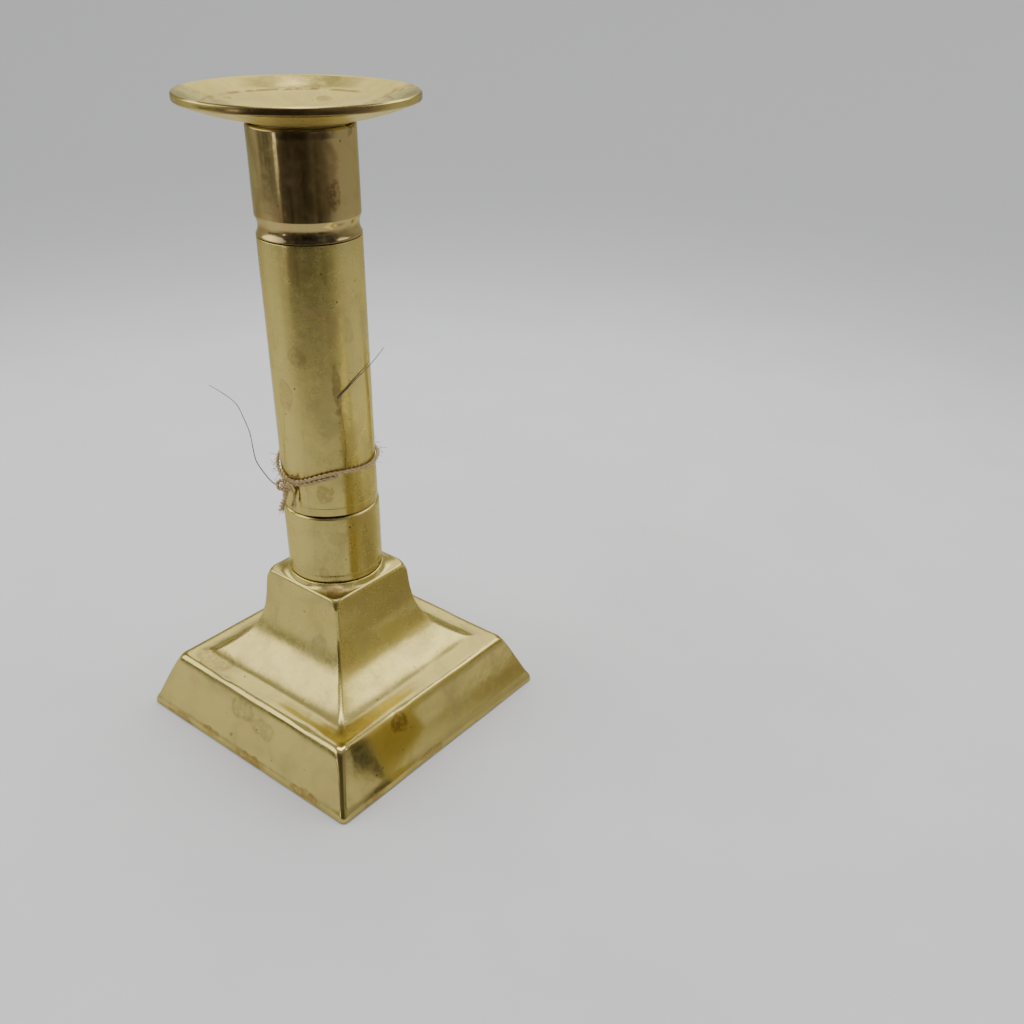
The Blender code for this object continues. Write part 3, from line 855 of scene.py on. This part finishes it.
def column_head():
    low, high = HEAD_LOW, HEAD_HIGH
    spigot_low, ledge = 133.0, 149.6
    outline = [
        (12.0, high, 0.2), (12.75, high, 0.25), (COLUMN, 167.3, 0.3),
        (COLUMN, 147.35, 0.1), *groove_points()[1:],
        (12.98, low, 0.08), (11.5, low, 0), (11.5, spigot_low, 0.2), (10.5, spigot_low, 0.2),
        (10.5, ledge, 0), (12.0, ledge, 0),
    ]
    shape = lathe(split_long(rounded(outline), 1.6))
    wobble(shape, 0.05, 13, 9)
    nick = Vector((4.2, -12.3, 167.6)) * MM
    for v in shape.verts:
        share = (v.co - nick).length / (1.5 * MM)
        if share < 1:
            out = Vector((v.co.x, v.co.y, 0)).normalized()
            v.co -= (out * 0.28 + Vector((0, 0, 0.35))) * (1 - share * share) * MM
    stains = [
        ((-5.4, -11.8, 158.0), 5.0, BROWN, 0.75, (1, 1, 0.45)),
        ((-2.7, -12.7, 153.5), 2.4, (0.13, 0.08, 0.03, 1), 1.0, (1, 1, 0.6)),
        ((-10.5, -7.8, 158.0), 3.2, (0.35, 0.22, 0.15, 1), 0.5, (1, 1, 0.35)),
        # painted reflection: the large greenish patch on the left side of the head
        ((-11.0, 6.5, 157.0), 7.0, (0.33, 0.31, 0.15, 1), 0.8, (1, 1, 0.5)),
        ((4.0, -12.4, 166.6), 1.6, SOOT, 0.5, (1, 1, 1)),
        ((8.0, 10.2, 160.0), 4.0, BROWN, 0.5, (1, 1, 0.5)),
        ((-9.8, 8.6, 155.0), 3.0, BROWN, 0.35, (1, 1, 0.5)),
    ]
    # painted shade: the head's brass is a darker copy of the column's, for the unlit side of the room that
    # it reflects
    clean, dull = (0.42, 0.325, 0.13, 1), (0.29, 0.215, 0.09, 1)
    look = brass_look("shaded_head_brass", clean, dull, (0.10, 0.17), stains, 4.2, 0.5, turned=True)
    # darker lower flank of the groove on the near side
    add_dark_band(look, 142.6, 144.5, (-8.8, -9.6, 143.5), 10.5, (0.07, 0.05, 0.03, 1), 0.9)
    # painted shadow under the pan, round the top of the head on the near side
    add_dark_band(look, 165.6, 168.0, (-8.2, -10.1, 166.8), 9.0, (0.10, 0.065, 0.035, 1), 0.8)
    return finish_mesh("column_head", shape, [look.made], ROOT, "top_ferrule",
                       recalc=False)


def solder_run():
    """The solder under the plinth, lumpy as it set."""
    outline = [(9.8, 44.3, 0), (12.0, 44.3, 0.3), (11.9, 43.8, 0.5), (10.4, 42.5, 0.6),
               (10.0, 42.2, 0.2), (9.8, 42.2, 0)]
    shape = lathe(split_long(rounded(outline), 0.5), turns=96)
    for v in shape.verts:
        lump = noise.noise(v.co / (3 * MM) + Vector((1, 5, 2)))
        out = Vector((v.co.x, v.co.y, 0))
        if out.length > 9.95 * MM:
            v.co += (out.normalized() * 0.3 * lump + Vector((0, 0, -0.2 * abs(lump)))) * MM
    look = Look("solder_metal", (0.32, 0.31, 0.29, 1), 1.0, 0.45)
    grey = look.noise(look.place(1 / (2 * MM)), 1.0, 4.0, 0.6)
    look.link(look.ramp(grey, [(0.3, (0.10, 0.09, 0.08, 1)), (0.7, (0.38, 0.37, 0.34, 1))]), "Base Color")
    look.link(look.range(grey, 0.3, 0.7, 0.6, 0.35), "Roughness")
    look.bump([(grey, 0.15 * MM)], 0.7)
    return finish_mesh("solder_run", shape, [look.made], ROOT, "solder_fillet",
                       recalc=False)


# ---------------------------------------------------------------- nozzle

def pan_look():
    stains = [
        ((18.4, 14.2, 172.1), 1.3, BROWN, 0.8, (1, 1, 1)),
        ((-4.6, 19.8, 171.2), 1.1, BROWN, 0.8, (1, 1, 1)),
        ((15.0, 7.6, 170.3), 2.2, BROWN, 0.7, (1, 1, 1)),
        ((0, 0, 170.0), 13.4, OLIVE, 0.5, (1, 1, 1)),
        ((-17.0, -12.0, 171.0), 2.0, BROWN, 0.4, (1, 1, 1)),
        # painted shade: the two large khaki patches darken the dish's left and right sides
        ((-17.0, 15.0, 172.0), 11.0, (0.30, 0.27, 0.13, 1), 1.0, (1, 1, 1)),
        ((17.0, -15.0, 172.0), 12.0, (0.28, 0.255, 0.13, 1), 1.1, (1, 1, 1)),
    ]
    return brass_look("pan_brass", rough=(0.17, 0.26), stains=stains, seed=5.5, streaks=0.0)


def add_crease_dirt(look):
    """A broken brown line of polish left in the pan's crease."""
    off = look.math("ABSOLUTE", look.math("SUBTRACT", look.reach(), CREASE * MM))
    line = look.range(off, 0.75 * MM, 0.2 * MM)
    gaps = look.noise(look.place(1 / (5 * MM), shift=(4, 2, 9)), 1.0, 3.0, 0.65)
    broken = look.times(line, look.range(gaps, 0.42, 0.56))
    above = look.range(look.height(), 171.0 * MM, 171.4 * MM)
    darken(look, look.times(broken, look.times(above, 0.8)), (0.20, 0.13, 0.06, 1))


def add_rim_shade(look):
    """Painted reflection of the unlit side of the room: the outer face of the rim darkened on the side
    facing the viewer.
    """
    side = look.near(look.warp(2.0, 4.0), (-18.6, -21.4, 173.4), 24.0, 0.45)
    edge = look.range(look.reach(), 28.05 * MM, 28.25 * MM)
    darken(look, look.times(look.times(side, edge), 0.85), (0.17, 0.11, 0.05, 1))


def pan_side(radius, height):
    """0 for the dish and its rim, 1 for the duller underside."""
    return int(height < 165.75 + 0.24 * radius)


def pan_dish():
    outline = [
        (11.9, 168.0, 0), (12.4, 168.0, 0.2), (13.0, 168.3, 0.6), (CREASE, 170.5, 2.5),
        (27.95, 172.55, 0.5), (28.4, 172.75, 0.2), (28.45, 173.5, 0.5), (28.42, 174.15, 0.12),
        (28.05, 174.55, 0.15), (27.5, 174.4, 0.3), (CREASE, 171.65, 1.6), (12.3, 169.25, 0.5),
        (11.9, 169.15, 0.1),
    ]
    shape = lathe(split_long(rounded(outline, steps=6), 0.9), slot_at=pan_side, turns=160)
    wobble(shape, 0.06, 12, 6)
    wobble(shape, 0.02, 3.5, 12)
    look = pan_look()
    add_crease_dirt(look)
    # painted reflection on the near side of the rim
    add_rim_shade(look)
    # painted light: the underside's brass is a lighter copy of the dish's, for the floor light it catches
    under = brass_look("pan_underside", (0.66, 0.56, 0.22, 1), CLEAN, (0.38, 0.48), seed=7.9,
                       streaks=0.1)
    return finish_mesh("pan_dish", shape, [look.made, under.made], NOZZLE, "drip_pan",
                       recalc=False)


def candle_cup():
    bottom, floor = 150.2, 151.0
    outline = [
        (0, bottom, 0), (11.0, bottom, 0.6), (11.6, 150.8, 0.6), (11.6, 169.2, 0.2),
        (11.25, 169.35, 0.2), (10.9, 169.2, 0.2), (10.9, 151.5, 0.4), (10.4, floor, 0.4), (0, floor, 0),
    ]
    path = split_long(rounded(outline, closed=False), 1.4, closed=False)
    shape = lathe(path, closed=False)
    wobble(shape, 0.03, 6, 3)
    stains = [
        ((0, 0, floor), 9.0, BROWN, 0.6, (1, 1, 1)),
        ((-8.0, 7.0, 156.0), 4.0, OLIVE, 0.6, (1, 1, 1)),
    ]
    look = brass_look("cup_brass", DULL, OLIVE, (0.28, 0.42), stains, 6.7, 0.4)
    return finish_mesh("candle_cup", shape, [look.made], NOZZLE, "candle_socket",
                       recalc=False)


# ---------------------------------------------------------------- twine

PLY = 0.30  # radius of one ply, mm
LAY = 2.9  # length of one full twist, mm
STEP = 0.28  # between points along the twine, mm
LOOP = 82.3  # height of the loop, mm


def twisted(shape, points, ply=PLY, spread=0.27, fray=0.0, phase=0.0):
    """Two plies wound round each other along the points, opening towards a frayed end."""
    strands = [[], []]
    along = 0.0
    for i, (p, side, other) in enumerate(carried(points)):
        if i:
            along += (p - points[i - 1]).length
        opened = 1 + fray * (i / (len(points) - 1)) ** 2
        for k, strand in enumerate(strands):
            a = 2 * math.pi * (along / (LAY * MM) + k / 2) + phase
            strand.append(p + (side * math.cos(a) + other * math.sin(a)) * spread * MM * opened)
    for strand in strands:
        tube(shape, strand, ply * MM)


def evenly(points, gap):
    """The same route with points this far apart, mm."""
    out, carry = [points[0]], 0.0
    for a, b in zip(points, points[1:]):
        length = (b - a).length
        at = gap * MM - carry
        while at < length:
            out.append(a.lerp(b, at / length))
            at += gap * MM
        carry = length - (at - gap * MM)
    out.append(points[-1])
    return out


def loop_height(angle):
    """The loop sags to the knot and rides up a little on the side next to it, mm."""
    droop = 3.1 * max(0.0, math.cos(angle - KNOT + 0.06)) ** 4
    return LOOP - droop + 0.7 * max(0.0, math.cos(angle - math.radians(237))) ** 6


def wrap_route(turn, lift, seed):
    """A route round the column from the knot, lifted off the loop's height by lift(angle)."""
    reach = COLUMN + 0.12 + 0.57
    steps, uneven = 120, 0.12
    start, stop = KNOT, KNOT + turn
    points = []
    for i in range(steps + 1):
        a = start + (stop - start) * i / steps
        shiver = noise.noise(Vector((math.cos(a) * 2, math.sin(a) * 2, seed))) * uneven
        height = loop_height(a) + lift(a) + shiver
        points.append(Vector((reach * math.cos(a), reach * math.sin(a), height)) * MM)
    return points


def second_turn(angle):
    """The second part-turn starts level with the loop and settles 1 mm below it."""
    return -1.0 * math.sin(min(1.0, (angle - KNOT) / 0.5) * 1.57)


def twine_wrap(look):
    shape = bmesh.new()
    twisted(shape, evenly(wrap_route(2 * math.pi, lambda a: 0.15, 1.0), STEP))
    twisted(shape, evenly(wrap_route(math.radians(62), second_turn, 4.0), STEP), phase=1.0)
    return finish_mesh("twine_wrap", shape, [look.made], ROOT, "twine_loop")


def twine_knotted(look):
    """A tight overhand knot."""
    reach, height = 15.55, 77.8
    centre = Vector((reach * math.cos(KNOT), reach * math.sin(KNOT), height))
    out = Vector((math.cos(KNOT), math.sin(KNOT), 0))
    across = Vector((-math.sin(KNOT), math.cos(KNOT), 0))
    up = Vector((0, 0, 1))
    steps = 96
    points = []
    for i in range(steps + 1):
        t = 2 * math.pi * i / steps
        x = (math.sin(t) + 2 * math.sin(2 * t)) * 0.78
        y = (math.cos(t) - 2 * math.cos(2 * t)) * 0.70
        z = -math.sin(3 * t) * 0.75
        points.append((centre + across * x + up * y + out * z) * MM)
    shape = bmesh.new()
    twisted(shape, evenly(points, 0.25), spread=0.26)
    return finish_mesh("twine_knotted", shape, [look.made], ROOT, "twine_knot")


def twine_end(name, node, route, ply, look, seed):
    """A loose end that opens into fibres. route: (degrees past the knot, distance from the axis, height)."""
    points = smooth_route([polar(math.degrees(KNOT) + past, reach, height)
                           for past, reach, height in route])
    shape = bmesh.new()
    twisted(shape, evenly(points, STEP), ply, ply * 0.9, fray=0.8)
    rng = random.Random(seed)
    end, before = points[-1], points[-6]
    ahead = (end - before).normalized()
    for _ in range(9):
        stray = Vector((rng.uniform(-0.5, 0.5), rng.uniform(-0.5, 0.5), rng.uniform(-0.4, 0.2)))
        aim = (ahead + stray).normalized()
        start = end - ahead * rng.uniform(0.2, 1.2) * MM
        tip = start + aim * rng.uniform(1.4, 3.0) * MM
        middle = (start + tip) / 2 + Vector((rng.uniform(-0.3, 0.3), rng.uniform(-0.3, 0.3), 0.2)) * MM
        tube(shape, smooth_route([start, middle, tip], 4), 0.06 * MM, 4)
    return finish_mesh(name, shape, [look.made], ROOT, node)


def hair(shape, points, thick):
    """One long fibre through points in mm, that thins towards its tip."""
    route = smooth_route([Vector(p) * MM for p in points], 10)
    count = len(route)
    tube(shape, route, [thick * MM * (1 - 0.6 * i / count) for i in range(count)], 5)


def dark_fibre():
    look = Look("dark_fibre", (0.15, 0.12, 0.09, 1), 0.0, 0.8)
    shade = look.noise(look.place(1 / (1.5 * MM)), 1.0, 3.0, 0.6)
    colour = look.ramp(shade, [(0.35, (0.08, 0.065, 0.055, 1)), (0.7, (0.26, 0.21, 0.16, 1))])
    look.link(colour, "Base Color")
    return look


def twine_fuzz(look):
    """Loose fibres: two long dark wisps, a faint one up the column, and short ones round the loop."""
    dark = dark_fibre()
    left = [(-15.3, 2.6, 77.0), (-14.9, 7.0, 77.6), (-14.4, 11.0, 79.4), (-15.5, 11.7, 82.6),
            (-16.6, 10.9, 87.0), (-17.6, 10.1, 91.8), (-18.4, 10.8, 96.0), (-19.5, 11.8, 100.2),
            (-21.8, 13.9, 103.4), (-24.1, 15.8, 105.7)]
    right = [(-5.7, -12.0, 103.7), (-3.5, -12.85, 105.7), (-0.2, -13.35, 107.8), (4.1, -12.8, 109.1),
             (10.2, -10.2, 109.7), (11.9, -11.8, 112.6)]
    faint = [(-5.1, -12.1, 83.0), (-4.5, -12.4, 89.0), (-4.6, -12.4, 94.8), (-5.6, -12.0, 103.3)]
    shape = bmesh.new()
    hair(shape, left, 0.19)
    hair(shape, right, 0.2)
    hair(shape, faint, 0.06)
    for face in shape.faces:
        face.material_index = 1
    rng = random.Random(11)
    for _ in range(110):
        a = rng.uniform(0, 2 * math.pi)
        if rng.random() < 0.35:
            a = KNOT + rng.gauss(0, 0.3)
        height = loop_height(a) + rng.uniform(-0.4, 0.5)
        start = Vector((13.75 * math.cos(a), 13.75 * math.sin(a), height)) * MM
        out = Vector((math.cos(a), math.sin(a), 0))
        along = Vector((-math.sin(a), math.cos(a), 0))
        length = rng.uniform(0.9, 3.2) * MM
        aim = out * rng.uniform(0.25, 0.9) + along * rng.uniform(-1, 1)
        aim = (aim + Vector((0, 0, rng.uniform(-0.8, 0.8)))).normalized()
        bend = Vector((rng.uniform(-1, 1), rng.uniform(-1, 1), rng.uniform(-1, 1))) * length * 0.15
        middle, tip = start + aim * length * 0.5 + bend, start + aim * length
        tube(shape, smooth_route([start, middle, tip], 3), 0.05 * MM, 4)
    return finish_mesh("twine_fuzz", shape, [look.made, dark.made], ROOT, None)


# ---------------------------------------------------------------- build

add_camera()
add_light()
add_floor()
add_dark_side()
add_shade()
metal = [foot_body(), column_foot(), column_shaft(), column_head(), pan_dish()]
add_neighbour(metal)
solder_run()
candle_cup()
fibre = twine_look("twine_fibre_look")
twine_wrap(fibre)
twine_knotted(fibre)
long_end = [(5.5, 15.4, 78.0), (1.5, 15.4, 75.9), (-3.2, 15.4, 73.6), (-8.4, 15.4, 71.5),
            (-11, 15.4, 69.7)]
short_end = [(6.5, 14.6, 77.7), (8.4, 14.2, 76.1), (8.6, 14.2, 74.8), (8.0, 14.2, 73.3)]
twine_end("twine_end_long", "twine_tail_long", long_end, 0.34, fibre, 3)
twine_end("twine_end_short", "twine_tail_short", short_end, 0.17, fibre, 4)
twine_fuzz(fibre)
